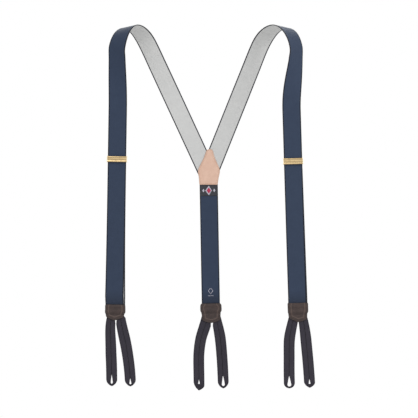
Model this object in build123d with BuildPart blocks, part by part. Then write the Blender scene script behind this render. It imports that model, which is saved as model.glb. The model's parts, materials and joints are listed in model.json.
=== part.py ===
from build123d import *

import os
from collections import namedtuple
from math import atan2, cos, degrees, pi, radians, sin

# Button-on suspenders with a Y back, hanging as they are worn.
# The origin is the centre of the yoke's inner face. +Z is up, +X is the viewer's right when the inner face
# of the yoke is seen, and -Y points out of that face, towards the front straps.
# The webbing turns over the shoulders at the top, and each of its three lower ends carries a leather tab
# with two braided runners.

os.makedirs("parts", exist_ok=True)

# ---- driving dimensions, mm -------------------------------------------------------------------------------

strap_width = 28.0
strap_thickness = 1.2
clearance = 0.15  # between plies that lie on each other
edge_radius = 1.2  # on the corners of the leather

# Yoke: two leather patches with the webbing between them.
lining_thickness = 1.0
outer_leather_thickness = 1.4
yoke_top = 32.0
yoke_bottom = -23.0
yoke_tip_half = 5.4
yoke_tip_corner = 3.0
yoke_neck = 18.5
yoke_neck_half = 8.4
yoke_half_width = 17.0
yoke_widest = 0.5
yoke_widest_foot = -3.5
yoke_foot_half = 14.2
outer_leather_margin = 0.6  # the outer leather stands out past the lining by this much
web_joint_height = -9.0  # the shoulder straps end here, and the rear strap begins

label_width = 27.0
label_height = 17.0
label_thickness = 0.4
label_drop = 0.3  # from the yoke's lower edge to the label's
label_gap = 0.05

# Shoulder bend, from the front strap to the back strap.
shoulder_depth = 70.0
shoulder_rise = 34.0
spring_height = 185.0  # where the bend starts, front and back
straight_top = 92.0  # the front straps are straight below this
bend_stations = 14
rise_stations = 6
settle_stations = (0.12, 0.24, 0.36, 0.48)  # shares of the way from the bend to the yoke's foot
apex_lay = (0.84, 0.53, 0.17)  # how the webbing lies across at the top of the bend
back_lay = (0.9, 0.2, 0.9)  # and where it comes down behind
bend_lead = 0.35  # share of the back strap's sideways run that the bend starts with

# Lower ends. The ring's upper bar is the zero of each tab's own height.
ring_height = -209.0
rear_ring_x = 3.6
ring_wire_radius = 1.0
ring_outer_width = 32.4
ring_drop = 7.5  # from the upper bar to the lower bar
ring_bend = 1.6
ring_play = 0.05
fold_radius = ring_wire_radius + clearance + strap_thickness / 2 + ring_play
rear_hem_height = 14.0
fold_top = 40.0  # the rear strap's sewn end starts this far above the ring
layer_gap = 0.5  # between the ends of two nodes that are one length of webbing

# Leather tab.
tab_leather = 1.2
tab_top = 3.3
ear_half = 16.3
ear_drop = 8.5
tab_half = 14.8
tab_corner = -17.5
tab_point = -23.5
mouth_half_gap = 2.65
sewn_half_gap = 1.45
taper_start = -9.0
taper_end = -12.5

# Braided runners.
runner_width = 16.8
runner_thickness = 2.5
runner_root_offset = 8.7
runner_root = -17.0
runner_knee = -53.0
neck_top = -13.2
neck_inner = 2.8
neck_outer = 13.0
root_inner = 0.5
root_outer = 16.2
root_overlap = 1.0
tip_length = 6.0
tip_flat = 2.4
buttonhole_length = 15.0
buttonhole_width = 4.8
buttonhole_to_tip = 12.0

# Adjusters.
adjuster_height = 9.9
adjuster_width = 32.0
cheek_thickness = 1.25
sheet = 0.8
base_plate_back = -1.65
clinch_back = -4.1
clinch_top = 1.6
frame_front = 2.95
pin_radius = 0.6
pin_fit = 0.02
barrel_fit = 0.05
cheek_corner = 1.0
pin_out = 2.0  # in front of the webbing's middle plane
pin_up = 3.3
barrel_radius = 1.3
flap_back = 2.0
flap_front = 2.9
lever_side_gap = 0.3

# The webbing's middle plane, at the back and at the front.
back_plane = lining_thickness + clearance + strap_thickness / 2
front_plane = back_plane - shoulder_depth

# One front side. inner is +1 where the body's middle is towards +X. tab_x is at the ring, lean is the front
# strap's angle from vertical, spring_x is the strap's middle where the bend starts, back_slope is the sideways
# run of the back strap per unit of height, and yaw is the strap's turn about vertical at the top of the chest.
Side = namedtuple("Side", "inner tab_x lean spring_x back_slope back_x yaw adjuster_z")
LEFT = Side(1, -142.8, -0.88, -139.4, 0.4635, -89.6, 25.0, 15.6)
RIGHT = Side(-1, 135.4, 1.72, 133.4, 0.401, 76.9, 44.0, 12.6)
rear_lean = degrees(atan2(rear_ring_x, web_joint_height - ring_height))

# One runner: side of the tab, sideways place at the knee and at the tip, and the tip's height.
Runner = namedtuple("Runner", "side knee tip tip_height")


# ---- frames -----------------------------------------------------------------------------------------------


def strap_frame(x, y, z, lean):
    """Plane of a strap: local X across it, local Y up along it, normal towards the front."""
    return Plane(origin=(x, y, z), x_dir=(cos(radians(lean)), 0, sin(radians(lean))), z_dir=(0, -1, 0))


def side_frame(frame):
    """The same place seen from the side: local X towards the front, local Y up along the strap."""
    return Plane(origin=frame.origin, x_dir=frame.z_dir, z_dir=-frame.x_dir)


def front_x(side, z):
    """The front strap's middle at a height on its straight length."""
    return side.tab_x - (z - ring_height) * sin(radians(side.lean)) / cos(radians(side.lean))


def smooth(t):
    return t * t * (3 - 2 * t)


def hermite(start, end, start_slope, end_slope, t):
    """Value at t on the cubic that has these ends and these slopes per unit of t."""
    rest = 1 - t
    return (
        start * rest * rest * (1 + 2 * t)
        + end * t * t * (3 - 2 * t)
        + start_slope * t * rest * rest
        - end_slope * t * t * rest
    )


def section_plane(point, tangent, across):
    """Plane square to the webbing's run, with local X across the webbing."""
    tangent = Vector(tangent).normalized()
    across = Vector(across)
    across = (across - tangent * across.dot(tangent)).normalized()
    return Plane(origin=point, x_dir=across, z_dir=tangent)


def shoulder_planes(side):
    """Sections of a shoulder strap, from the adjuster up the chest, over the shoulder and down to the yoke."""
    lean = -sin(radians(side.lean))
    start_height = side.adjuster_z - 2 * adjuster_height
    straight = section_plane((front_x(side, start_height), front_plane, start_height), (lean, 0, 1), (1, 0, 0))
    planes = [straight]
    climb = spring_height - straight_top
    for i in range(rise_stations):
        t = i / rise_stations
        height = straight_top + t * climb
        x = hermite(front_x(side, straight_top), side.spring_x, lean * climb, 0, t)
        ahead = hermite(front_x(side, straight_top), side.spring_x, lean * climb, 0, t + 0.01)
        turn = radians(side.yaw) * smooth(t)
        across = (cos(turn), -side.inner * sin(turn), 0)
        planes.append(section_plane((x, front_plane, height), (ahead - x, 0, 0.01 * climb), across))
    front_across = Vector(cos(radians(side.yaw)), -side.inner * sin(radians(side.yaw)), 0)
    apex_across = Vector(apex_lay[0], -apex_lay[1] * side.inner, apex_lay[2] * side.inner)
    back_across = Vector(back_lay[0], -back_lay[1] * side.inner, back_lay[2] * side.back_slope * side.inner)
    end_slope = side.inner * side.back_slope * shoulder_rise * pi
    start_slope = bend_lead * end_slope
    for i in range(bend_stations + 1):
        t = i / bend_stations
        angle = pi * t
        x = hermite(side.spring_x, side.back_x, start_slope, end_slope, t)
        slope = hermite(side.spring_x, side.back_x, start_slope, end_slope, t + 0.001) - x
        point = (
            x,
            front_plane + shoulder_depth / 2 * (1 - cos(angle)),
            spring_height + shoulder_rise * sin(angle),
        )
        tangent = (slope / 0.001 / pi, shoulder_depth / 2 * sin(angle), shoulder_rise * cos(angle))
        if t < 0.5:
            across = front_across + (apex_across - front_across) * smooth(2 * t)
        else:
            across = apex_across + (back_across - apex_across) * smooth(2 * t - 1)
        planes.append(section_plane(point, tangent, across))
    run = (side.inner * side.back_slope, 0, -1)
    flat = (1, 0, side.inner * side.back_slope)
    for t in (*settle_stations, 1.0):
        drop = t * (spring_height - yoke_bottom)
        point = (side.back_x + side.inner * side.back_slope * drop, back_plane, spring_height - drop)
        settled = back_across + (Vector(flat) - back_across) * min(1.0, t / settle_stations[-1])
        planes.append(section_plane(point, run, settled))
    return planes


# ---- yoke -------------------------------------------------------------------------------------------------


def yoke_patch(near, thickness, margin):
    """One leather patch of the yoke: a bottle shape with a rounded tip, hollow sides and a narrower foot."""
    with BuildPart() as patch:
        with BuildSketch(Plane.XZ.offset(-near)):
            with BuildLine():
                tip_flat_half = yoke_tip_half - yoke_tip_corner
                top = Line((-tip_flat_half, yoke_top + margin), (tip_flat_half, yoke_top + margin))
                right = Polyline(
                    top @ 1,
                    (yoke_tip_half + margin, yoke_top - yoke_tip_corner),
                    (yoke_neck_half + margin, yoke_neck),
                    (yoke_half_width + margin, yoke_widest),
                    (yoke_half_width + margin, yoke_widest_foot),
                    (yoke_foot_half + margin, yoke_bottom - margin),
                    (0, yoke_bottom - margin),
                )
                mirror(right, about=Plane.YZ)
            make_face()
        extrude(amount=-thickness)
        fillet(patch.edges().filter_by(Axis.Y).group_by(Axis.Z)[1:], radius=edge_radius)
    return patch.part


yoke_lining_leather = yoke_patch(0, lining_thickness, 0)
yoke_lining_leather.label = "yoke_lining_leather"
export_step(yoke_lining_leather, "parts/yoke_lining_leather.step")

outer_leather_near = lining_thickness + strap_thickness + 2 * clearance
yoke_outer_leather = yoke_patch(outer_leather_near, outer_leather_thickness, outer_leather_margin)
yoke_outer_leather.label = "yoke_outer_leather"
export_step(yoke_outer_leather, "parts/yoke_outer_leather.step")


# ---- webbing ----------------------------------------------------------------------------------------------


def shoulder_strap(side, label):
    """Webbing from below the adjuster to the yoke, mitred against the other side's strap."""
    with BuildPart() as strap:
        for plane in shoulder_planes(side):
            with BuildSketch(plane):
                Rectangle(strap_width, strap_thickness)
        loft(ruled=True)
        with BuildSketch(Plane.XY.offset(web_joint_height)):
            with Locations((0, back_plane)):
                Rectangle(4 * strap_width, 4 * strap_thickness)
        extrude(amount=-3 * strap_width, mode=Mode.SUBTRACT)
        far_side = Plane.YZ.offset(-side.inner * clearance / 2)
        split(bisect_by=far_side, keep=Keep.BOTTOM if side.inner > 0 else Keep.TOP)
    strap.part.label = label
    export_step(strap.part, f"parts/{label}.step")


shoulder_strap(LEFT, "left_shoulder_strap")
shoulder_strap(RIGHT, "right_shoulder_strap")


def strap_turn(frame, front_top, return_top, return_out, label):
    """Webbing that comes down in front of the ring's bar, turns under it and goes up behind.

    front_top and return_top are heights above the bar, and return_out is how far behind the front layer's
    middle the return layer's middle is at its top."""
    half = strap_thickness / 2
    with BuildPart() as turn:
        with BuildSketch(side_frame(frame)):
            with BuildLine():
                outside = Polyline((-half, front_top), (half, front_top), (half, 0))
                under = RadiusArc(outside @ 1, (-2 * fold_radius - half, 0), fold_radius + half)
                back = Polyline(
                    under @ 1,
                    (-return_out - half, return_top),
                    (-return_out + half, return_top),
                    (-2 * fold_radius + half, 0),
                )
                inside = RadiusArc(back @ 1, (-half, 0), -(fold_radius - half))
                Line(inside @ 1, outside @ 0)
            make_face()
        extrude(amount=strap_width / 2, both=True)
    turn.part.label = label
    export_step(turn.part, f"parts/{label}.step")


def ring_frame(side):
    return strap_frame(side.tab_x, front_plane, ring_height, side.lean)


def adjuster_frame(side):
    return strap_frame(front_x(side, side.adjuster_z), front_plane, side.adjuster_z, side.lean)


return_out_at_adjuster = (clinch_back - base_plate_back + sheet) / -2 - base_plate_back
for side, name in ((LEFT, "left"), (RIGHT, "right")):
    to_adjuster = (side.adjuster_z - ring_height) / cos(radians(side.lean))
    front_layer_top = to_adjuster - 2 * adjuster_height - layer_gap
    strap_turn(
        ring_frame(side), front_layer_top, to_adjuster + clinch_top - 1, return_out_at_adjuster, f"{name}_strap_loop"
    )

rear_frame = strap_frame(rear_ring_x, back_plane, ring_height, rear_lean)
strap_turn(rear_frame, fold_top, rear_hem_height, strap_thickness + 2 * clearance, "rear_strap_fold")

rear_length = (web_joint_height - ring_height) / cos(radians(rear_lean))
with BuildPart() as rear_strap:
    with BuildSketch(rear_frame):
        with Locations((0, (fold_top + layer_gap + rear_length - layer_gap) / 2)):
            Rectangle(strap_width, rear_length - fold_top - 2 * layer_gap)
    extrude(amount=strap_thickness / 2, both=True)
rear_strap.part.label = "rear_strap"
export_step(rear_strap.part, "parts/rear_strap.step")

label_height_on_strap = yoke_bottom - label_drop - label_height / 2 - ring_height
with BuildPart() as woven_label:
    with BuildSketch(rear_frame.offset(strap_thickness / 2 + label_gap)):
        with Locations((0, label_height_on_strap)):
            RectangleRounded(label_width, label_height, 0.6)
    extrude(amount=label_thickness)
woven_label.part.label = "woven_label"
export_step(woven_label.part, "parts/woven_label.step")


# ---- adjusters --------------------------------------------------------------------------------------------


def adjuster(side, name):
    """Folded brass frame, its hinge pin, and the lever whose barrel clamps the webbing on the base plate."""
    frame = adjuster_frame(side)
    profile = side_frame(frame)
    half_height = adjuster_height / 2
    between_cheeks = adjuster_width - 2 * cheek_thickness

    with BuildPart() as body:
        with BuildSketch(profile):
            with Locations((base_plate_back + sheet / 2, 0)):
                Rectangle(sheet, adjuster_height)
            with Locations((clinch_back + sheet / 2, (clinch_top - half_height) / 2)):
                Rectangle(sheet, clinch_top + half_height)
        extrude(amount=between_cheeks / 2, both=True)
        for cheek in (-1, 1):
            with BuildSketch(profile.offset(cheek * between_cheeks / 2)):
                with Locations(((clinch_back + frame_front) / 2, 0)):
                    RectangleRounded(frame_front - clinch_back, adjuster_height, cheek_corner)
                with Locations((pin_out, pin_up)):
                    Circle(pin_radius + pin_fit, mode=Mode.SUBTRACT)
            extrude(amount=cheek * cheek_thickness)
    body.part.label = f"{name}_adjuster_frame"
    export_step(body.part, f"parts/{name}_adjuster_frame.step")

    with BuildPart() as pin:
        with BuildSketch(profile):
            with Locations((pin_out, pin_up)):
                Circle(pin_radius)
        extrude(amount=adjuster_width / 2, both=True)
    pin.part.label = f"{name}_adjuster_pin"
    export_step(pin.part, f"parts/{name}_adjuster_pin.step")

    with BuildPart() as lever:
        with BuildSketch(profile):
            with Locations((pin_out, pin_up)):
                Circle(barrel_radius)
            with Locations(((flap_back + flap_front) / 2, (pin_up - half_height) / 2)):
                Rectangle(flap_front - flap_back, pin_up + half_height)
            with Locations((pin_out, pin_up)):
                Circle(pin_radius + barrel_fit, mode=Mode.SUBTRACT)
        extrude(amount=between_cheeks / 2 - lever_side_gap, both=True)
    lever.part.label = f"{name}_adjuster_lever"
    export_step(lever.part, f"parts/{name}_adjuster_lever.step")


adjuster(LEFT, "left")
adjuster(RIGHT, "right")


# ---- tabs -------------------------------------------------------------------------------------------------


def tab_leather_patch(frame, face, label):
    """One leather of a tab. face is +1 for the front leather and -1 for the back one.

    The two leathers stand apart at the top, round the ring, and close on the runners below it."""
    near = face * mouth_half_gap
    sewn = face * sewn_half_gap
    skin = face * tab_leather
    with BuildPart() as patch:
        with BuildSketch(side_frame(frame).offset(-ear_half - 1)):
            with BuildLine():
                Polyline(
                    (near, tab_top),
                    (near, taper_start),
                    (sewn, taper_end),
                    (sewn, tab_point),
                    (sewn + skin, tab_point),
                    (sewn + skin, taper_end),
                    (near + skin, taper_start),
                    (near + skin, tab_top),
                    close=True,
                )
            make_face()
        extrude(amount=2 * ear_half + 2)
        with BuildSketch(frame.offset(-2 * mouth_half_gap)):
            with BuildLine():
                right = Polyline(
                    (0, tab_top),
                    (ear_half, tab_top),
                    (ear_half, -ear_drop),
                    (tab_half, -ear_drop - 1.5),
                    (tab_half - 0.5, tab_corner),
                    (0, tab_point),
                )
                mirror(right, about=Plane.YZ)
            outline = make_face()
            fillet(outline.vertices().filter_by(lambda v: abs(v.X) > 1), radius=edge_radius)
        extrude(amount=4 * mouth_half_gap, mode=Mode.INTERSECT)
    patch.part.label = label
    export_step(patch.part, f"parts/{label}.step")


def runner(frame, shape, label):
    """Flat braid, hairpin-folded side by side, with a mitred end and a buttonhole in it."""
    with BuildPart() as braid:
        with BuildSketch(frame):
            with BuildLine() as run:
                Spline(
                    (shape.side * runner_root_offset, runner_root),
                    (shape.knee, runner_knee),
                    (shape.tip, shape.tip_height + tip_length),
                    tangents=((shape.side * 0.15, -1), (0.1 * (shape.tip - shape.knee) / runner_width, -1)),
                )
            trace(line_width=runner_width)
            end = run.line @ 1
            heading = degrees(atan2((run.line % 1).Y, (run.line % 1).X))
            with Locations(Location((end.X, end.Y), heading)):
                Polygon(
                    (-0.5, -runner_width / 2),
                    (0, -runner_width / 2),
                    (tip_length, -tip_flat),
                    (tip_length, tip_flat),
                    (0, runner_width / 2),
                    (-0.5, runner_width / 2),
                    align=None,
                )
            Polygon(
                (shape.side * root_inner, runner_root - root_overlap),
                (shape.side * neck_inner, neck_top),
                (shape.side * neck_outer, neck_top),
                (shape.side * root_outer, runner_root - root_overlap),
                align=None,
            )
            with Locations(Location((end.X, end.Y), heading)):
                with Locations((tip_length - buttonhole_to_tip, 0)):
                    SlotOverall(buttonhole_length, buttonhole_width, mode=Mode.SUBTRACT)
        extrude(amount=runner_thickness / 2, both=True)
    braid.part.label = label
    export_step(braid.part, f"parts/{label}.step")


def tab(frame, name, runners):
    """Ring, two leathers and two runners, around the middle plane of the webbing's two layers."""
    middle = frame.offset(-fold_radius)
    half_width = ring_outer_width / 2 - ring_wire_radius
    with BuildSketch(middle) as outline:
        with Locations((0, -ring_drop / 2)):
            RectangleRounded(2 * half_width, ring_drop, ring_bend)
    wire = outline.sketch.face().outer_wire()
    with BuildPart() as ring:
        with BuildSketch(Plane(origin=wire @ 0, z_dir=wire % 0)):
            Circle(ring_wire_radius)
        sweep(path=wire)
    ring.part.label = f"{name}_tab_ring"
    export_step(ring.part, f"parts/{name}_tab_ring.step")

    tab_leather_patch(middle, 1, f"{name}_tab_front_leather")
    tab_leather_patch(middle, -1, f"{name}_tab_back_leather")
    for label, shape in runners.items():
        runner(middle, shape, label)


tab(
    ring_frame(LEFT),
    "left",
    {
        "left_outer_runner": Runner(-1, -6.6, -2.8, -121.0),
        "left_inner_runner": Runner(1, 17.0, 25.6, -121.0),
    },
)
tab(
    rear_frame,
    "rear",
    {
        "rear_left_runner": Runner(-1, -16.2, -20.5, -130.5),
        "rear_right_runner": Runner(1, 14.0, 17.0, -128.0),
    },
)
tab(
    ring_frame(RIGHT),
    "right",
    {
        "right_inner_runner": Runner(-1, -14.9, -15.9, -124.0),
        "right_outer_runner": Runner(1, 11.4, 15.0, -124.0),
    },
)
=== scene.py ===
import json
from collections import namedtuple
from math import cos, pi, radians, sin

import bmesh
import bpy
import numpy as np
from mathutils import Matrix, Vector

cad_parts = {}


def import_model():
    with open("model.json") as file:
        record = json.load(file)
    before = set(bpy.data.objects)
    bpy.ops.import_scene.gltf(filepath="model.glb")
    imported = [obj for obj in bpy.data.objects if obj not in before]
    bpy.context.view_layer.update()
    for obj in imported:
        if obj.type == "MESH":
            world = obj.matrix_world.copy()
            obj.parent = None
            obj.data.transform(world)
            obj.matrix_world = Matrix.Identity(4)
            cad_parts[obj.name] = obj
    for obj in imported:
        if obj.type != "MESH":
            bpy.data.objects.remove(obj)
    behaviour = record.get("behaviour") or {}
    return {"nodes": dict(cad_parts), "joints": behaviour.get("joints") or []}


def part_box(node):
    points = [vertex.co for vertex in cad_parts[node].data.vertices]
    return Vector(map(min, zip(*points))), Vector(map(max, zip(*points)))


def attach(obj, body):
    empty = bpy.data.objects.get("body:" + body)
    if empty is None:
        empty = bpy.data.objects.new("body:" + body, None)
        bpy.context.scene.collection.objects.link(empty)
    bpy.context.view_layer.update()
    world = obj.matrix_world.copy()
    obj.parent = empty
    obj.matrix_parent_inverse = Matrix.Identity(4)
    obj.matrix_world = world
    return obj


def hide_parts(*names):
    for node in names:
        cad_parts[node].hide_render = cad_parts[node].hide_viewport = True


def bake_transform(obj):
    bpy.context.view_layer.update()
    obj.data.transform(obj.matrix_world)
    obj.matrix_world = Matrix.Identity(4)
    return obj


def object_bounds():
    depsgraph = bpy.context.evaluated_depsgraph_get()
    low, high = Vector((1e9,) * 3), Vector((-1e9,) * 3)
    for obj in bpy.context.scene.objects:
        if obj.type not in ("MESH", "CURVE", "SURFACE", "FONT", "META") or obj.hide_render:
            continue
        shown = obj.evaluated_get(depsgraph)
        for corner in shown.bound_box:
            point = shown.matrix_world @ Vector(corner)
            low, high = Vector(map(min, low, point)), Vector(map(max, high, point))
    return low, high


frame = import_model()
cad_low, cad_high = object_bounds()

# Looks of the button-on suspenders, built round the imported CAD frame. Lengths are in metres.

MM = 0.001
joints = {j["name"]: j for j in frame["joints"]}
FRONT = Vector((0, -1, 0))
FACES = (("front", 1), ("back", -1))

# ---- sizes ----


def depth(node):
    """A CAD node's size from front to back."""
    low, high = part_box(node)
    return high.y - low.y


WEB_HALF = 14.0 * MM
WEB_THICK = depth("rear_strap")
FOLD_RADIUS = (depth("left_strap_loop") - WEB_THICK) / 2
SELVEDGE = 0.9  # share of the half width where the woven edge starts
WEB_STEP = 2.5 * MM
WEB_PITCH = (1.1 * MM, 0.9 * MM)  # of the warp ends across the webbing and of the ribs along it
LABEL_PITCH = (0.5 * MM, 0.35 * MM)
MOUTH = 16 * MM  # above the ring, at the tab's mouth, where the turn round the ring starts
TURN_END = 2 * MM  # a height above the ring, handed only to bend
SEAM_DROP = 3 * MM  # from a lever's pin down to where the upper and lower webbing meet
UNSHADED = 6 * MM  # a place in the weave's own length that is past the shade at the ring
RETURN_DROP = 4 * MM  # from a lever's pin down to the top of the webbing's free end
CLINCH_DEPTH = 1.7 * MM  # from the adjuster's back to the middle of the free end that it holds
# How far sideways the front ply and the rear ply lie at the tab's mouth, and how soon they part above it.
FRONT_SHIFT = {"left": -0.9 * MM, "right": 0.2 * MM}
TURN_SHIFT = {"left": 1.7 * MM, "right": 1.5 * MM}
SHIFT_RATE = {"left": 3.0, "right": 1.0}
FACE_RISE = 0.84  # of half the thickness, where the face lies under the woven edge
HEM_ENDS = (-12.5 * MM, 12.5 * MM)
HEM_RISE = WEB_THICK / 2 * FACE_RISE
REAR_HEM_ROWS = (10.5 * MM, 12 * MM)  # above the ring
RETURN_HEM_ROWS = (8 * MM, 9.5 * MM)  # under the top of the free end

LEATHER = 1.2 * MM
THREAD = 0.2 * MM
STITCH = 2.3 * MM
STITCH_GAP = 0.9 * MM

BRAID_STEP = 0.42 * MM
BRAID_COLUMNS = 4
BRAID_PITCH = 2.1 * MM
BRAID_RELIEF = 0.2 * MM
RUNNER_TIP = 10 * MM  # over the runner's lowest point, where its sections start to be read
RUNNER_ROOT = -14.0 * MM


# ---- materials ----


class Graph:
    """A node material, with short calls for adding nodes."""

    def __init__(self, name):
        self.material = bpy.data.materials.new(name)
        self.material.use_nodes = True
        self.tree = self.material.node_tree
        self.surface = self.tree.nodes["Principled BSDF"]

    def add(self, kind, settings=None, **inputs):
        """Adds a node. inputs are values or outputs, by socket name with _ for a space, or iN."""
        node = self.tree.nodes.new("ShaderNode" + kind)
        for key, value in (settings or {}).items():
            setattr(node, key, value)
        for key, value in inputs.items():
            is_index = key[0] == "i" and key[1:].isdigit()
            self.set(node.inputs[int(key[1:])] if is_index else node.inputs[key.replace("_", " ")], value)
        return node

    def set(self, socket, value):
        if isinstance(value, bpy.types.NodeSocket):
            self.tree.links.new(value, socket)
        elif isinstance(value, bpy.types.Node):
            self.tree.links.new(value.outputs[0], socket)
        else:
            socket.default_value = value

    def math(self, operation, a, b=0.0):
        return self.add("Math", {"operation": operation}, i0=a, i1=b).outputs[0]

    def times(self, a, b):
        return self.math("MULTIPLY", a, b)

    def plus(self, a, b):
        return self.math("ADD", a, b)

    def mix(self, share, a, b):
        """Colour a, going to colour b as share goes from 0 to 1."""
        node = self.add("Mix", {"data_type": "RGBA"}, i0=share)
        self.set(node.inputs[6], a)
        self.set(node.inputs[7], b)
        return node.outputs[2]

    def ramp(self, value, low, high):
        """value, stretched so that low becomes 0 and high becomes 1."""
        return self.add("MapRange", Value=value, From_Min=low, From_Max=high).outputs[0]

    def uv(self):
        return self.add("UVMap", {"uv_map": "UVMap"}).outputs[0]

    def place(self):
        return self.add("TexCoord").outputs["Object"]

    def painted(self, name):
        """A value that the mesh holds for each of its points."""
        return self.add("Attribute", {"attribute_name": name}).outputs["Fac"]

    def noise(self, vector, scale, detail=3.0):
        return self.add("TexNoise", Vector=vector, Scale=scale, Detail=detail).outputs["Fac"]

    def finish(self, colour, roughness, height=None, depth=0.0, **surface):
        """Wires the colour, roughness and bump, and sets the surface's other inputs."""
        self.set(self.surface.inputs["Base Color"], colour)
        self.set(self.surface.inputs["Roughness"], roughness)
        for key, value in surface.items():
            self.set(self.surface.inputs[key.replace("_", " ")], value)
        if height is not None:
            bump = self.add("Bump", Height=height, Distance=depth, Strength=1.0)
            self.set(self.surface.inputs["Normal"], bump.outputs["Normal"])
        return self.material


def rgb(red, green, blue):
    """A linear colour from an sRGB one with parts from 0 to 255."""
    parts = [c / 255 for c in (red, green, blue)]
    return [c / 12.92 if c <= 0.04045 else ((c + 0.055) / 1.055) ** 2.4 for c in parts] + [1.0]


def weave_height(graph, across_pitch, along_pitch):
    """Height of a plain weave from UVs in metres: ribs across the webbing, crossed by warp ends."""
    uv = graph.add("SeparateXYZ", Vector=graph.uv())
    warp = graph.math("SINE", graph.times(uv.outputs[0], 2 * pi / across_pitch))
    weft = graph.math("SINE", graph.times(uv.outputs[1], 2 * pi / along_pitch))
    crossing = graph.times(warp, weft)
    return graph.plus(graph.times(weft, 0.6), graph.times(crossing, 0.4)), uv


def webbing_material(name, face, crest, edge, sheen):
    """Ribbed webbing with a woven edge, with painted shade at the tab's mouth and at the ring.

    The UV along the webbing is 0 at the ring, and negative in front of it."""
    graph = Graph(name)
    height, uv = weave_height(graph, *WEB_PITCH)
    position = graph.uv()
    mottle = graph.ramp(graph.noise(position, 90, 4), 0.35, 0.65)
    fuzz = graph.noise(position, 2600, 2)
    colour = graph.mix(graph.ramp(height, -0.6, 1.0), face, crest)
    colour = graph.mix(graph.times(mottle, 0.25), colour, face)
    side = graph.math("DIVIDE", graph.math("ABSOLUTE", uv.outputs[0]), WEB_HALF)
    colour = graph.mix(graph.ramp(side, SELVEDGE - 0.05, SELVEDGE + 0.01), colour, edge)
    along = uv.outputs[1]
    # Painted shade: the weave goes towards the dark edge colour just above the tab's mouth and round the
    # ring, where the leather and the ring would shade it.
    mouth_painted_shade = graph.times(graph.ramp(along, -26 * MM, -4 * MM), graph.ramp(along, 2 * MM, 0.0))
    ring_painted_shade = graph.ramp(graph.math("ABSOLUTE", along), 5 * MM, 1 * MM)
    shade = graph.plus(graph.times(mouth_painted_shade, 0.45), graph.times(ring_painted_shade, 0.5))
    colour = graph.mix(shade, colour, edge)
    rough = graph.plus(0.62, graph.times(fuzz, 0.25))
    relief = graph.plus(height, graph.times(fuzz, 0.5))
    return graph.finish(
        colour, rough, relief, 0.00006, Sheen_Weight=sheen, Sheen_Roughness=0.4, Specular_IOR_Level=0.25
    )


def leather_material(name, base, dark, light, worn, grain, crease_depth, roughness):
    """Grained leather: cells, pores, mottling, a painted edge, and wear where the mesh says so."""
    graph = Graph(name)
    place = graph.place()
    wander = graph.add("TexNoise", Vector=place, Scale=grain * 0.8, Detail=2.0).outputs["Color"]
    shift = graph.add("VectorMath", {"operation": "SCALE"}, i0=wander, Scale=1.1 / grain).outputs[0]
    bent = graph.add("VectorMath", {"operation": "ADD"}, i0=place, i1=shift).outputs[0]
    cells = graph.add("TexVoronoi", {"feature": "SMOOTH_F1"}, Vector=bent, Scale=grain, Smoothness=0.4)
    pebble = graph.ramp(cells.outputs["Distance"], 0.75, 0.15)
    mottle = graph.ramp(graph.noise(place, 130, 5), 0.3, 0.7)
    fine = graph.noise(place, 5200, 3)
    edge = graph.painted("edge")
    wear = graph.painted("wear")
    colour = graph.mix(mottle, base, light)
    crease = graph.times(graph.math("SUBTRACT", 1.0, pebble), crease_depth)
    colour = graph.mix(crease, colour, dark)
    colour = graph.mix(graph.times(wear, 0.5), colour, worn)
    colour = graph.mix(graph.times(edge, 0.85), colour, dark)
    rough = graph.plus(roughness, graph.times(graph.math("SUBTRACT", fine, 0.5), 0.3))
    relief = graph.plus(graph.times(pebble, 0.8), graph.times(fine, 0.3))
    return graph.finish(colour, rough, relief, 0.00008, Specular_IOR_Level=0.4)


def brass_material(name, bright, brushed, worn):
    """Lacquered brass, brushed across the webbing, darker and rougher where it's been handled."""
    graph = Graph(name)
    place = graph.place()
    stretched = graph.add("Mapping", Vector=place, Scale=(30, 900, 900))
    brush = graph.noise(stretched.outputs[0], 4, 4)
    handled = graph.ramp(graph.noise(place, 220, 3), 0.4, 0.75)
    colour = graph.mix(brush, bright, brushed)
    colour = graph.mix(graph.times(handled, 0.35), colour, worn)
    rough = graph.plus(0.2, graph.times(handled, 0.16))
    return graph.finish(colour, rough, brush, 0.00001, Metallic=1.0, Coat_Weight=0.25, Coat_Roughness=0.1)


def braid_material():
    """Matt yarn, with painted shade where the mesh's crest value is low: between the strands, on the
    braid's rounded sides and towards its tip; fuzzy on the strands' crests.
    """
    graph = Graph("cord_braid")
    position = graph.uv()
    crest = graph.painted("crest")
    fibre = graph.noise(graph.add("Mapping", Vector=position, Scale=(5, 1, 1)).outputs[0], 1500, 3)
    tone = graph.ramp(graph.noise(position, 60, 3), 0.3, 0.7)
    # Painted shade: the colour goes to near black where the crest value is low.
    colour = graph.mix(crest, rgb(20, 18, 22), rgb(62, 59, 66))
    colour = graph.mix(graph.times(fibre, 0.3), colour, rgb(84, 78, 90))
    colour = graph.mix(graph.times(tone, 0.3), colour, rgb(40, 38, 50))
    return graph.finish(colour, 0.85, fibre, 0.00008, Sheen_Weight=0.12, Specular_IOR_Level=0.15)


def thread_material(name, colour, shade):
    """Twisted sewing thread."""
    graph = Graph(name)
    place = graph.place()
    wave = graph.add("TexWave", {"bands_direction": "DIAGONAL"}, Vector=place, Scale=900, Distortion=0.4)
    twist = wave.outputs["Fac"]
    return graph.finish(graph.mix(twist, shade, colour), 0.6, twist, 0.00004)


def label_material():
    """Damask label ground: a fine satin weave."""
    graph = Graph("label_weave")
    height = weave_height(graph, *LABEL_PITCH)[0]
    shade = graph.ramp(height, -1, 1)
    return graph.finish(
        graph.mix(shade, rgb(14, 15, 22), rgb(36, 37, 48)), 0.5, height, 0.00004, Sheen_Weight=0.1
    )


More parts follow.
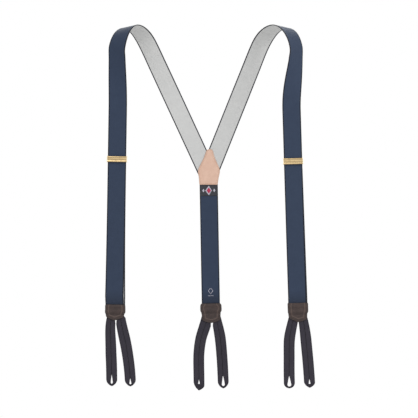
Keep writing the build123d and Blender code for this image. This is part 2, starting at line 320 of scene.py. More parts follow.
NAVY = webbing_material("navy_webbing", rgb(39, 50, 70), rgb(57, 70, 91), rgb(20, 23, 32), 0.2)
PALE = webbing_material("pale_webbing", rgb(189, 189, 187), rgb(222, 221, 218), rgb(28, 30, 38), 0.05)
SELVEDGE_YARN = webbing_material("selvedge_yarn", rgb(20, 23, 33), rgb(34, 38, 50), rgb(20, 23, 33), 0.05)
BROWN = leather_material(
    "brown_leather", rgb(54, 40, 36), rgb(24, 17, 15), rgb(72, 55, 51), rgb(118, 98, 88), 1500, 0.6, 0.5
)
TAN = leather_material(
    "tan_leather",
    rgb(219, 181, 160),
    rgb(174, 136, 112),
    rgb(229, 194, 173),
    rgb(240, 214, 190),
    2600,
    0.3,
    0.55,
)
BRASS = brass_material("brass", rgb(206, 182, 138), rgb(170, 146, 104), rgb(140, 112, 76))
# A near-white copy of the brass: painted highlight that stands in for the glints on the adjuster frames.
PAINTED_HIGHLIGHT_BRASS = brass_material(
    "brass_painted_highlight", rgb(255, 248, 232), rgb(240, 228, 202), rgb(208, 184, 148)
)
BRAID = braid_material()
BROWN_THREAD = thread_material("brown_thread", rgb(92, 76, 66), rgb(44, 34, 30))
TAN_THREAD = thread_material("tan_thread", rgb(214, 178, 150), rgb(160, 122, 96))
NAVY_THREAD = thread_material("navy_thread", rgb(52, 60, 84), rgb(22, 26, 40))
BLACK_THREAD = thread_material("black_thread", rgb(40, 38, 46), rgb(14, 13, 16))
RED_THREAD = thread_material("red_thread", rgb(196, 44, 84), rgb(140, 22, 52))
WHITE_THREAD = thread_material("white_thread", rgb(206, 204, 214), rgb(150, 148, 162))
LABEL = label_material()


# ---- mesh helpers ----


def add_object(name, data):
    made = bpy.data.objects.new(name, data)
    bpy.context.scene.collection.objects.link(made)
    return made


def piece(name, points, faces, materials, indices=None, uvs=None, attributes=None):
    """A mesh object in the row frame, smooth but for its end caps. uvs and attributes are per point."""
    mesh = bpy.data.meshes.new(name)
    mesh.from_pydata([tuple(p) for p in points], [], [tuple(int(i) for i in f) for f in faces])
    for material in materials:
        mesh.materials.append(material)
    mesh.polygons.foreach_set("use_smooth", [len(f) <= 4 for f in faces])
    if indices is not None:
        mesh.polygons.foreach_set("material_index", indices)
    if uvs is not None:
        corners = np.zeros(len(mesh.loops), np.int32)
        mesh.loops.foreach_get("vertex_index", corners)
        layer = mesh.uv_layers.new(name="UVMap")
        layer.data.foreach_set("uv", np.asarray(uvs, np.float32)[corners].ravel())
    for key, values in (attributes or {}).items():
        layer = mesh.attributes.new(key, "FLOAT", "POINT")
        layer.data.foreach_set("value", np.asarray(values, np.float32))
    mesh.update()
    rims = {key for face in mesh.polygons if len(face.vertices) > 4 for key in face.edge_keys}
    mesh.edges.foreach_set("use_edge_sharp", [edge.key in rims for edge in mesh.edges])
    return add_object(name, mesh)


def settle(made, slot, body=None, node=None):
    """Gives a piece the body it rides on, and hides the CAD node it stands for. slot is not used."""
    if node:
        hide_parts(node)
    if body:
        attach(made, body)


def bend(made, place, start, end):
    """Bakes a piece's placement into its mesh. The heights start and end over the ring are worked out but
    have no effect.
    """
    place.at(0, start)
    place.at(0, end)
    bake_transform(made)


def tube_faces(rings, around):
    """Quads of a closed tube of rings, and a cap at each end."""
    faces = []
    for i in range(rings - 1):
        for j in range(around):
            k = (j + 1) % around
            faces.append((i * around + j, i * around + k, (i + 1) * around + k, (i + 1) * around + j))
    faces.append(tuple(range(around))[::-1])
    faces.append(tuple((rings - 1) * around + j for j in range(around)))
    return faces


def smooth_line(points, step):
    """Points on a smooth curve through the given ones, about step apart, and the distance run at each."""
    points = np.array([tuple(p) for p in points], float)
    chord = np.r_[0, np.cumsum(np.linalg.norm(np.diff(points[:, :3], axis=0), axis=1))]
    slopes = np.gradient(points, chord, axis=0)
    runs = np.linspace(0, chord[-1], max(2, int(round(chord[-1] / step)) + 1))
    k = np.clip(np.searchsorted(chord, runs, "right") - 1, 0, len(chord) - 2)
    gap = (chord[k + 1] - chord[k])[:, None]
    t = ((runs - chord[k])[:, None]) / gap
    made = (
        points[k] * (2 * t**3 - 3 * t**2 + 1)
        + slopes[k] * gap * (t**3 - 2 * t**2 + t)
        + points[k + 1] * (3 * t**2 - 2 * t**3)
        + slopes[k + 1] * gap * (t**3 - t**2)
    )
    return made, runs


class Place:
    """A strap's own frame on its ring: across, up along the strap, and out towards the front."""

    def __init__(self, side):
        hinge = joints[f"{side}_tab_swing"]
        self.origin = Vector(hinge["pos_m"])
        self.across = Vector(hinge["axis"]).normalized()
        self.up = FRONT.cross(self.across)

    def at(self, across, up, out=0.0):
        return self.origin + self.across * across + self.up * up + FRONT * out

    def back(self, point):
        """(across, up) of a point."""
        offset = Vector(point) - self.origin
        return offset.dot(self.across), offset.dot(self.up)


PLACES = {side: Place(side) for side in ("left", "rear", "right")}


# ---- webbing ----

# Half of the webbing's section as (share of the half width, share of the half thickness): a thicker woven
# edge, and a face that lies just under it.
SECTION = [(-1.0, 0.35), (-0.985, 0.8), (-0.955, 1.0), (-0.92, 0.98), (-SELVEDGE, 0.86)]
SECTION += [(share, FACE_RISE) for share in (-0.86, -0.5, 0.0, 0.5)]
SECTION += [(-a, h) for a, h in SECTION[5::-1]]


def webbing(name, stations, backing, start=0.0):
    """Webbing through stations of (middle, across, out), with a navy outer face and the backing inside.

    start is where the weave's own length begins."""
    lines = np.array([[*m, *a, *o] for m, a, o in stations], float)
    lines, runs = smooth_line(lines, WEB_STEP)
    profile = SECTION + [(a, -h) for a, h in SECTION[::-1]]
    points, uvs = [], []
    for line, run in zip(lines, runs):
        middle, across, out = line[:3], line[3:6], line[6:9]
        across = across / np.linalg.norm(across)
        out = out - across * np.dot(out, across)
        out = out / np.linalg.norm(out)
        for share, rise in profile:
            points.append(middle + across * share * WEB_HALF + out * rise * WEB_THICK / 2)
            uvs.append((share * WEB_HALF, start + run))
    around = len(profile)
    faces = tube_faces(len(lines), around)
    half = len(SECTION)
    kinds = []
    for j in range(around):
        share = (profile[j][0] + profile[(j + 1) % around][0]) / 2
        edge = abs(share) > SELVEDGE - 0.005
        kinds.append(2 if edge or j in (half - 1, around - 1) else (0 if j < half else 1))
    indices = kinds * (len(lines) - 1) + [2, 2]
    return piece(name, points, faces, [NAVY, backing, SELVEDGE_YARN], indices, uvs)


def long_edges(node):
    """The four long edges of a CAD shoulder strap, each from its lower end in front to near the yoke."""
    mesh = bmesh.new()
    mesh.from_mesh(frame["nodes"][node].data)
    bmesh.ops.remove_doubles(mesh, verts=mesh.verts, dist=1e-6)
    beside = {v: [] for v in mesh.verts}
    for edge in mesh.edges:
        if len(edge.link_faces) == 2 and edge.calc_face_angle() > radians(50):
            beside[edge.verts[0]].append(edge.verts[1])
            beside[edge.verts[1]].append(edge.verts[0])
    front = (cad_low.y + cad_high.y) / 2
    corners = sorted((v for v in mesh.verts if v.co.y < front and beside[v]), key=lambda v: v.co.z)[:4]
    lines = []
    for corner in corners:
        before, here = corner, max(beside[corner], key=lambda v: v.co.z)
        line = [corner.co.copy()]
        while len(beside[here]) == 2:
            line.append(here.co.copy())
            before, here = here, next(v for v in beside[here] if v is not before)
        line.append(here.co.copy())
        lines.append(line)
    mesh.free()
    return lines


def shoulder_stations(side):
    """(middle, across, out) along a shoulder strap, from the adjuster to under the yoke."""
    lines = long_edges(f"{side}_shoulder_strap")
    first = [line[0] for line in lines]
    middle_x = sum(p.x for p in first) / 4
    middle_y = sum(p.y for p in first) / 4
    order = {(p.x > middle_x, p.y < middle_y): line for p, line in zip(first, lines)}
    count = min(len(line) for line in lines) - 1
    stations = []
    for i in range(count):
        left_out, left_in = order[(False, True)][i], order[(False, False)][i]
        right_out, right_in = order[(True, True)][i], order[(True, False)][i]
        middle = (left_out + left_in + right_out + right_in) / 4
        across = (right_out + right_in - left_out - left_in).normalized()
        out = (left_out + right_out - left_in - right_in).normalized()
        stations.append((middle, across, out))
    # The run from the adjuster to the chest is straight, and more stations keep it so.
    (start, across, out), (end, *_) = stations[:2]
    straight = [(start + (end - start) * share, across, out) for share in (0.2, 0.4, 0.6, 0.8, 0.95)]
    stations[1:1] = straight
    run = (order[(False, True)][count] - order[(False, True)][count - 1]).normalized()
    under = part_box("yoke_lining_leather")[0].z * 0.25
    start, across, out = stations[-1]
    reach = (start.z - under) / -run.z
    for share in (0.25, 0.5, 0.75, 1.0):
        stations.append((start + run * reach * share, across, out))
    return stations


def straight_stations(place, low, high, out, shift=0.0):
    """Stations of a straight run between two heights; shift moves its lower part sideways."""
    count = 12
    made = []
    for i in range(count + 1):
        t = i / count
        height = low + (high - low) * t
        aside = shift * (1 - t) ** 3
        made.append((place.at(aside, height, out), place.across, FRONT))
    return made


def turn_stations(place, front_top, back_top, front_shift=0.0, shift=0.0):
    """Stations down in front of the ring, round under it and up behind it, each ply with its shift."""
    made = []
    for height in np.linspace(front_top, 0, 6):
        aside = front_shift * height / front_top
        made.append((place.at(aside, height, FOLD_RADIUS), place.across, FRONT))
    for i in range(1, 8):
        angle = pi * i / 8
        out = FRONT * cos(angle) - place.up * sin(angle)
        middle = place.at(shift * i / 8, 0) + out * FOLD_RADIUS
        made.append((middle, place.across, out))
    for height in np.linspace(0, back_top, 6):
        made.append((place.at(shift, height, -FOLD_RADIUS), place.across, -FRONT))
    return made


def shoulder_webbing(side):
    place = PLACES[side]
    stations = shoulder_stations(side)
    inner = 1 if side == "left" else -1
    pin = Vector(joints[f"{side}_lever_hinge"]["pos_m"])
    seam = place.back(pin)[1] - SEAM_DROP
    stations[0] = (place.at(0, seam, FOLD_RADIUS), stations[0][1], stations[0][2])
    upper = webbing(f"{side}_shoulder_webbing", stations, PALE, UNSHADED)
    for vertex in upper.data.vertices:
        if vertex.co.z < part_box("yoke_lining_leather")[1].z and vertex.co.y > cad_low.y / 2:
            vertex.co.x = min(vertex.co.x * inner, -0.1 * MM) * inner
    settle(upper, "navy_webbing", "root", f"{side}_shoulder_strap")

    front_shift, shift = FRONT_SHIFT[side], TURN_SHIFT[side]
    front = straight_stations(place, MOUTH, seam, FOLD_RADIUS, front_shift)[::-1]
    lower = webbing(f"{side}_loop_webbing", front, PALE, -seam)
    settle(lower, "navy_webbing", node=f"{side}_strap_loop")
    bend(lower, place, seam - 12 * MM, MOUTH + 6 * MM)

    round_ring = turn_stations(place, MOUTH, MOUTH, front_shift, shift)
    turn = webbing(f"{side}_turn_webbing", round_ring, PALE, -MOUTH)
    settle(turn, "navy_webbing")
    bend(turn, place, MOUTH, TURN_END)

    # The free end goes up behind, to between the adjuster's base plate and its clinch plate.
    top = place.back(pin)[1] - RETURN_DROP
    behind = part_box(f"{side}_adjuster_frame")[1].y - place.origin.y - CLINCH_DEPTH

    def return_point(across, height):
        t = (height - MOUTH) / (top - MOUTH)
        aside = across + shift * (1 - t) ** SHIFT_RATE[side]
        return place.at(aside, height, -FOLD_RADIUS - (behind - FOLD_RADIUS) * t)

    ends = [(return_point(0, height), place.across, -FRONT) for height in np.linspace(MOUTH, top, 13)]
    back = webbing(f"{side}_return_webbing", ends, PALE, MOUTH + pi * FOLD_RADIUS)
    settle(back, "navy_webbing")
    bend(back, place, MOUTH + 4 * MM, top - 15 * MM)

    for row, drop in enumerate(RETURN_HEM_ROWS):
        path = [return_point(across, top - drop) - FRONT * HEM_RISE for across in HEM_ENDS]
        sewn = stitches(f"{side}_return_hem_{row}", path, -FRONT, NAVY_THREAD)
        settle(sewn, "navy_webbing", f"{side}_adjuster")


def rear_webbing():
    place = PLACES["rear"]
    top = place.back((0, 0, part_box("rear_strap")[1].z))[1]
    stations = straight_stations(place, MOUTH, top, FOLD_RADIUS)[::-1]
    straight = webbing("rear_webbing", stations, NAVY, -top)
    settle(straight, "navy_webbing", "root", "rear_strap")
    turn = webbing("rear_turn_webbing", turn_stations(place, MOUTH, MOUTH - 2 * MM), NAVY, -MOUTH)
    settle(turn, "navy_webbing", node="rear_strap_fold")
    bend(turn, place, MOUTH, TURN_END)


# ---- stitches ----


def thread(name, stitch_list, material, radius):
    """Sewing thread as single stitches of (points, normals), each dipping in at both ends."""
    points, faces = [], []
    around = 6
    for middles, normals in stitch_list:
        base, rings = len(points), len(middles)
        tangents = np.gradient(middles, axis=0)
        tangents /= np.linalg.norm(tangents, axis=1)[:, None]
        for r, (middle, normal, tangent) in enumerate(zip(middles, normals, tangents)):
            rise = sin(pi * r / (rings - 1))
            normal = normal - tangent * np.dot(normal, tangent)
            normal = normal / np.linalg.norm(normal)
            aside = np.cross(tangent, normal)
            size = radius * (0.6 + 0.4 * rise)
            lift = radius * (1.2 * rise - 0.5)
            for j in range(around):
                angle = 2 * pi * j / around
                points.append(middle + normal * (lift + size * sin(angle)) + aside * size * cos(angle))
        faces += [tuple(base + k for k in f) for f in tube_faces(rings, around)]
    return piece(name, points, faces, [material])


def stitches(name, path, normal, material, length=STITCH, gap=STITCH_GAP, radius=THREAD):
    """A row of stitches along a path, on a surface that faces the normal."""
    path = np.array([tuple(p) for p in path], float)
    runs = np.r_[0, np.cumsum(np.linalg.norm(np.diff(path, axis=0), axis=1))]
    count = max(1, int((runs[-1] + gap) / (length + gap)))
    spare = (runs[-1] - count * length - (count - 1) * gap) / 2
    rows = []
    for i in range(count):
        at = spare + i * (length + gap) + length * np.linspace(0, 1, 7)
        middles = np.column_stack([np.interp(at, runs, path[:, k]) for k in range(3)])
        rows.append((middles, np.tile(np.array(normal), (7, 1))))
    return thread(name, rows, material, radius)


def rear_hem():
    """Two rows of stitches that hold the rear strap's turned end."""
    place = PLACES["rear"]
    for word, side in FACES:
        for row, height in enumerate(REAR_HEM_ROWS):
            path = [place.at(across, height, side * (FOLD_RADIUS + HEM_RISE)) for across in HEM_ENDS]
            sewn = stitches(f"rear_hem_{word}_{row}", path, FRONT * side, NAVY_THREAD)
            settle(sewn, "navy_webbing")
            bend(sewn, place, MOUTH, TURN_END)


shoulder_webbing("left")
shoulder_webbing("right")
rear_webbing()
rear_hem()


# ---- leather ----


def bump(value, width):
    return np.exp(-((value / width) ** 2))


def soften(values, reach):
    """Values averaged with their neighbours up to reach places away, with the ends kept."""
    before = 2 * values[0] - values[reach:0:-1]
    after = 2 * values[-1] - values[-2 : -reach - 2 : -1]
    kernel = np.hanning(2 * reach + 1)
    return np.convolve(np.r_[before, values, after], kernel / kernel.sum(), "valid")


PRESSED = 0.2 * MM  # how deep a sewn channel is, and how high a pressed line
ROUNDED = 0.5 * MM  # how far in from a cut edge the leather is rounded
PAINTED = 0.9 * MM  # how far in the paint on a cut edge reaches
TAB_GROOVE = 1.7 * MM
TAB_RIDGE = 5.2 * MM
YOKE_GROOVE = 1.9 * MM
YOKE_DIP = 0.35 * MM
SUNK = 0.1 * MM  # how far a stitch's line lies under the surface


class Outline:
    """A patch's outline from (height, distance from the middle) in millimetres for its two sides."""

    def __init__(self, left, right, lean=0.0):
        rows = [np.array(sorted(side), float) * MM for side in (left, right)]
        self.low = float(rows[0][0, 0])
        self.high = float(rows[0][-1, 0])
        self.heights = np.linspace(self.low, self.high, 131)
        reach = int(0.9 * MM / (self.heights[1] - self.heights[0]))
        halves = [soften(np.interp(self.heights, side[:, 0], side[:, 1]), reach) for side in rows]
        drift = lean * (self.heights - self.low)
        self.left, self.right = drift - halves[0], drift + halves[1]
        down = np.c_[self.left, self.heights][::-1]
        foot = np.c_[np.linspace(self.left[0], self.right[0], 11)[1:-1], np.full(9, self.low)]
        self.rim = np.vstack([down, foot, np.c_[self.right, self.heights]])

    def span(self, height):
        """The patch's leftmost and rightmost place at a height."""
        return np.interp(height, self.heights, self.left), np.interp(height, self.heights, self.right)

    def inward(self, across, up, with_top=True):
        """Distance in from the nearest edge, with or without the top one."""
        spots = np.c_[np.ravel(across), np.ravel(up)][:, None]
        ends = np.roll(self.rim, -1, axis=0)
        start = (self.rim if with_top else self.rim[:-1])[None]
        run = (ends if with_top else ends[:-1])[None] - start
        t = ((spots - start) * run).sum(2) / np.maximum((run**2).sum(2), 1e-18)
        near = start + run * np.clip(t, 0, 1)[..., None]
        return np.linalg.norm(spots - near, axis=2).min(1)

    def inset(self, distance):
        """A path down the left side, along the foot and up the right side, distance in from the edge."""
        run = np.gradient(self.rim, axis=0)
        run /= np.linalg.norm(run, axis=1)[:, None]
        path = self.rim + np.c_[-run[:, 1], run[:, 0]] * distance
        clear = self.inward(path[:, 0], path[:, 1], False) > distance * 0.97
        return path[clear & (path[:, 1] < self.high - distance * 0.6)]


def patch(name, outline, put, near, far, material, groove, ridge=None, rows=90, columns=64):
    """Leather between surfaces near(across, up) and far(across, up), with rounded cut edges.

    put(across, up, out) gives a point in the row frame. groove is how far in from the edge a sewn channel
    runs, and ridge how far in a pressed line stands up, worn paler. Far is the shown side."""
    up = outline.low + (outline.high - outline.low) * (1 - np.cos(np.linspace(0, pi, rows))) / 2
    left, right = outline.span(up)
    middle, half = (left + right)[:, None] / 2, (right - left)[:, None] / 2
    across = (middle - half * np.cos(np.linspace(0, pi, columns))).ravel()
    up = np.repeat(up, columns)
    inward = outline.inward(across, up)
    aside = outline.inward(across, up, ridge is None)
    line = bump(aside - ridge, 0.5 * MM) if ridge else np.zeros(len(up))
    relief = PRESSED * (line - bump(aside - groove, 0.45 * MM))
    top, bottom = far(across, up), near(across, up)
    t = np.clip(inward / ROUNDED, 0, 1)
    half_thick = (top - bottom) / 2 * np.sqrt(1 - (1 - t) ** 2)
    hidden = (top + bottom) / 2 - half_thick
    shown = (top + bottom) / 2 + half_thick + relief * np.sign(top - bottom)
    spots = np.c_[np.tile(across, 2), np.tile(up, 2), np.r_[hidden, shown]]
    points = [put(*spot) for spot in spots.tolist()]
    edge = np.clip(1 - inward / PAINTED, 0, 1)
    layer = rows * columns
    faces = []
    for i in range(rows - 1):
        for j in range(columns - 1):
            a = i * columns + j
            quad = (a, a + 1, a + columns + 1, a + columns)
            faces.append(quad[::-1])
            faces.append(tuple(layer + k for k in quad))
    attributes = {"edge": np.tile(edge, 2), "wear": np.tile(line, 2)}
    made = piece(name, points, faces, [material], attributes=attributes)
    mesh = bmesh.new()
    mesh.from_mesh(made.data)
    bmesh.ops.remove_doubles(mesh, verts=mesh.verts, dist=1e-6)
    bmesh.ops.recalc_face_normals(mesh, faces=mesh.faces)
    mesh.to_mesh(made.data)
    mesh.free()
    return made


# Tab outlines: heights over the ring and distances from the strap's middle, in millimetres.
TAB_OUTLINES = {
    "left": Outline([
        (3.3, 13.9), (2.6, 14.3), (1.0, 14.7), (-4, 14.6), (-8, 14.8), (-9.6, 14.6), (-11, 13.9),
        (-15.8, 12.8), (-17, 11.2), (-18.6, 7.5), (-20.4, 3.0), (-21, 0.8)
    ], [
        (3.3, 15.0), (2.6, 15.6), (1.0, 16.2), (-4, 16.3), (-8, 16.4), (-9.6, 16.0), (-11, 14.9),
        (-15.4, 14.0), (-16.8, 12.6), (-18.8, 7.5), (-20.4, 3.0), (-21, 0.8)
    ]),
    "rear": Outline([
        (3.3, 13.8), (2.4, 15.2), (0.5, 16.3), (-5, 16.5), (-8.5, 16.2), (-10.2, 15.2), (-14, 14.4),
        (-21, 14.1), (-23.4, 12.4), (-25.2, 8.2), (-26.6, 3.0), (-26.9, 0.8)
    ], [
        (3.3, 13.9), (2.4, 15.2), (0.5, 16.3), (-6, 16.6), (-9.0, 16.1), (-10.5, 15.0), (-16, 14.6),
        (-21, 14.3), (-23.4, 12.4), (-25.2, 8.2), (-26.6, 3.0), (-26.9, 0.8)
    ]),
    "right": Outline([
        (5.8, 14.4), (5.1, 14.8), (3.5, 15.0), (-5, 14.9), (-8.2, 14.8), (-9.6, 14.5), (-11, 14.2),
        (-16.2, 13.8), (-18.4, 11.6), (-21.5, 5.0), (-23.4, 1.6), (-23.6, 0.8)
    ], [
        (5.8, 15.5), (5.1, 16.0), (3.5, 16.3), (-5, 16.3), (-8.2, 16.1), (-9.6, 15.2), (-11, 14.7),
        (-18, 14.3), (-20.2, 12.6), (-22.2, 7.0), (-23.4, 2.0), (-23.6, 0.8)
    ]),
}
MOUTH_GAP = 2.65 * MM  # half the space between the leathers round the ring
SEWN_GAP = 1.45 * MM  # and where they close on the runners

# The ring's wire, the fall from its upper bar to its lower one, its corners, and its reach to each side.
WIRE = 1.0 * MM
RING_DROP = 7.5 * MM
RING_BEND = 1.6 * MM
RING_ENDS = {
    "left": (-14.4 * MM, 16.0 * MM),
    "rear": (-16.0 * MM, 16.0 * MM),
    "right": (-14.6 * MM, 16.0 * MM),
}


def tab_gap(height):
    """Half the space between a tab's leathers at a height, with the ring's bars and a crease showing."""
    t = np.clip((height + 9 * MM) / (-3.5 * MM), 0, 1)
    bars = bump(height, 1.8 * MM) + bump(height + RING_DROP, 1.8 * MM)
    crease = bump(height + 12.6 * MM, 0.9 * MM)
    gap = MOUTH_GAP + (SEWN_GAP - MOUTH_GAP) * t * t * (3 - 2 * t)
    return gap + 0.25 * MM * bars * (1 - t) - 0.15 * MM * crease


def tab(side):
    place = PLACES[side]
    outline = TAB_OUTLINES[side]
    for label, face in FACES:
        near = lambda across, up, face=face: face * tab_gap(up)
        far = lambda across, up, face=face: face * (tab_gap(up) + LEATHER)
        name = f"{side}_tab_{label}_leather_skin"
        leather = patch(name, outline, place.at, near, far, BROWN, TAB_GROOVE, TAB_RIDGE)
        settle(leather, "brown_leather", f"{side}_tab", f"{side}_tab_{label}_leather")
        path = outline.inset(TAB_GROOVE).tolist()
        spots = [place.at(a, h, face * float(tab_gap(h) + LEATHER - SUNK)) for a, h in path]
        sewn = stitches(f"{side}_tab_{label}_stitches", spots, FRONT * face, BROWN_THREAD)
        settle(sewn, "brown_leather", f"{side}_tab")


def ring(side):
    """Round wire bent into a rounded rectangle, with its upper bar on the tab's hinge."""
    place = PLACES[side]
    left, right = RING_ENDS[side][0] + WIRE + RING_BEND, RING_ENDS[side][1] - WIRE - RING_BEND
    high, low = -RING_BEND, RING_BEND - RING_DROP
    around = 14
    points = []
    corners = ((right, high), (left, high), (left, low), (right, low))
    for quarter, (across, up) in enumerate(corners):
        for angle in (quarter + np.linspace(0, 1, 8)) * pi / 2:
            for turn in np.linspace(0, 2 * pi, around, endpoint=False):
                reach = RING_BEND + WIRE * cos(turn)
                spot = (across + reach * cos(angle), up + reach * sin(angle))
                points.append(place.at(*spot, WIRE * sin(turn)))
    count = len(points)
    faces = []
    for first in range(0, count, around):
        for j in range(around):
            k = (j + 1) % around
            after = (first + around) % count
            faces.append((first + j, first + k, after + k, after + j))
    wire = piece(f"{side}_tab_ring_wire", points, faces, [BRASS])
    settle(wire, "brass", f"{side}_tab", f"{side}_tab_ring")


for side in PLACES:
    tab(side)
    ring(side)


# The yoke patch has the same outline on both sides.
YOKE_SIDE = [
    (31.9, 0.6), (31.5, 2.6), (30.4, 4.4), (28.5, 5.4), (24, 6.7), (18.5, 8.5), (13, 11.0), (8, 13.4),
    (4, 15.2), (1.5, 16.3), (-1, 16.9), (-3.5, 16.9), (-6, 16.5), (-11, 15.5), (-17, 14.7),
    (-22.2, 14.2), (-22.8, 13.8), (-23, 13.2)
]


def yoke():
    outline = Outline(YOKE_SIDE, YOKE_SIDE, lean=0.03)
    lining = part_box("yoke_lining_leather")
    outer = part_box("yoke_outer_leather")

    def put(across, up, out):
        return Vector((across, -out, up))

    def puff(across, up):
        """The patch dips towards its sewn edge."""
        return YOKE_DIP * np.clip(1 - outline.inward(across, up) / (3 * MM), 0, 1) ** 2

    path = outline.inset(YOKE_GROOVE)
    dip = puff(path[:, 0], path[:, 1]).tolist()
    for word, face, hidden, shown, leather, yarn, slot in (
        ("lining", 1, -lining[1].y, -lining[0].y, TAN, TAN_THREAD, "tan_leather"),
        ("outer", -1, -outer[0].y, -outer[1].y, BROWN, BROWN_THREAD, "brown_leather"),
    ):
        near = lambda a, h, hidden=hidden: hidden
        far = lambda a, h, shown=shown, face=face: shown - face * puff(a, h)
        skin = patch(f"yoke_{word}_skin", outline, put, near, far, leather, YOKE_GROOVE)
        settle(skin, slot, "root", f"yoke_{word}_leather")
        points = [put(a, h, shown - face * (d + SUNK)) for (a, h), d in zip(path.tolist(), dip)]
        sewn = stitches(f"yoke_{word}_stitches", points, FRONT * face, yarn, radius=0.16 * MM)
        settle(sewn, slot, "root")


yoke()


# ---- runners ----

# Each runner, in millimetres: the buttonhole's half width, length and height over the tip, how far up its
# two legs narrow towards the tip and how pointed that is (0.5 is round), how far it's pulled sideways and
# by what share it's narrowed in the tab, how low that starts, and how far its middle sways.
Runner = namedtuple("Runner", "hole_half hole_length hole_low narrow point pull squeeze gather_low sway")
RUNNERS = {
    "left_outer_runner": Runner(1.8, 13.5, 3.5, (10.5, 10.5), 0.7, 4.2, 0.15, -75, 0.0),
    "left_inner_runner": Runner(1.7, 9.0, 3.2, (10.5, 10.5), 0.7, 0.3, 0.11, -50, -0.4),
    "rear_left_runner": Runner(1.4, 6.5, 9.7, (14.5, 8.0), 0.85, 3.8, -0.08, -50, -0.9),
    "rear_right_runner": Runner(2.7, 16.0, 3.5, (11.0, 11.0), 0.7, -1.4, 0.17, -50, -0.4),
    "right_inner_runner": Runner(3.4, 16.0, 2.7, (8.5, 8.5), 0.5, 2.4, 0.12, -50, 1.4),
    "right_outer_runner": Runner(1.5, 7.5, 5.5, (10.0, 8.0), 0.8, -1.4, 0.17, -50, 0.3),
}
GATHER_TOP = -16 * MM  # the runners are fully gathered at this height
SWAY = (-72 * MM, 26 * MM)  # where they sway most, and over how much height
# The share of its half width that a runner loses on the other one's side, in and just below the tab.
TUCK = {"left": 0.17, "rear": 0.2, "right": 0.3}
TUCK_HEIGHTS = {
    "left": (-25 * MM, -19.5 * MM),
    "rear": (-29.5 * MM, -24 * MM),
    "right": (-20.5 * MM, -17.5 * MM),
}


def runner_line(place, node):
    """The runner's middle and half width by height, read from the CAD solid's sections."""
    source = frame["nodes"][node].data
    low = min(place.back(v.co)[1] for v in source.vertices)
    rows = []
    for height in np.linspace(RUNNER_ROOT, low + RUNNER_TIP, 24):
        mesh = bmesh.new()
        mesh.from_mesh(source)
        cut = bmesh.ops.bisect_plane(
            mesh,
            geom=list(mesh.verts) + list(mesh.edges) + list(mesh.faces),
            plane_co=place.at(0, height),
            plane_no=place.up,
        )
        found = [place.back(g.co)[0] for g in cut["geom_cut"] if isinstance(g, bmesh.types.BMVert)]
        mesh.free()
        rows.append((height, (min(found) + max(found)) / 2, (max(found) - min(found)) / 2))
    end = np.mean([place.back(v.co)[0] for v in source.vertices if place.back(v.co)[1] < low + 0.3 * MM])
    return np.array(rows), (low, end)


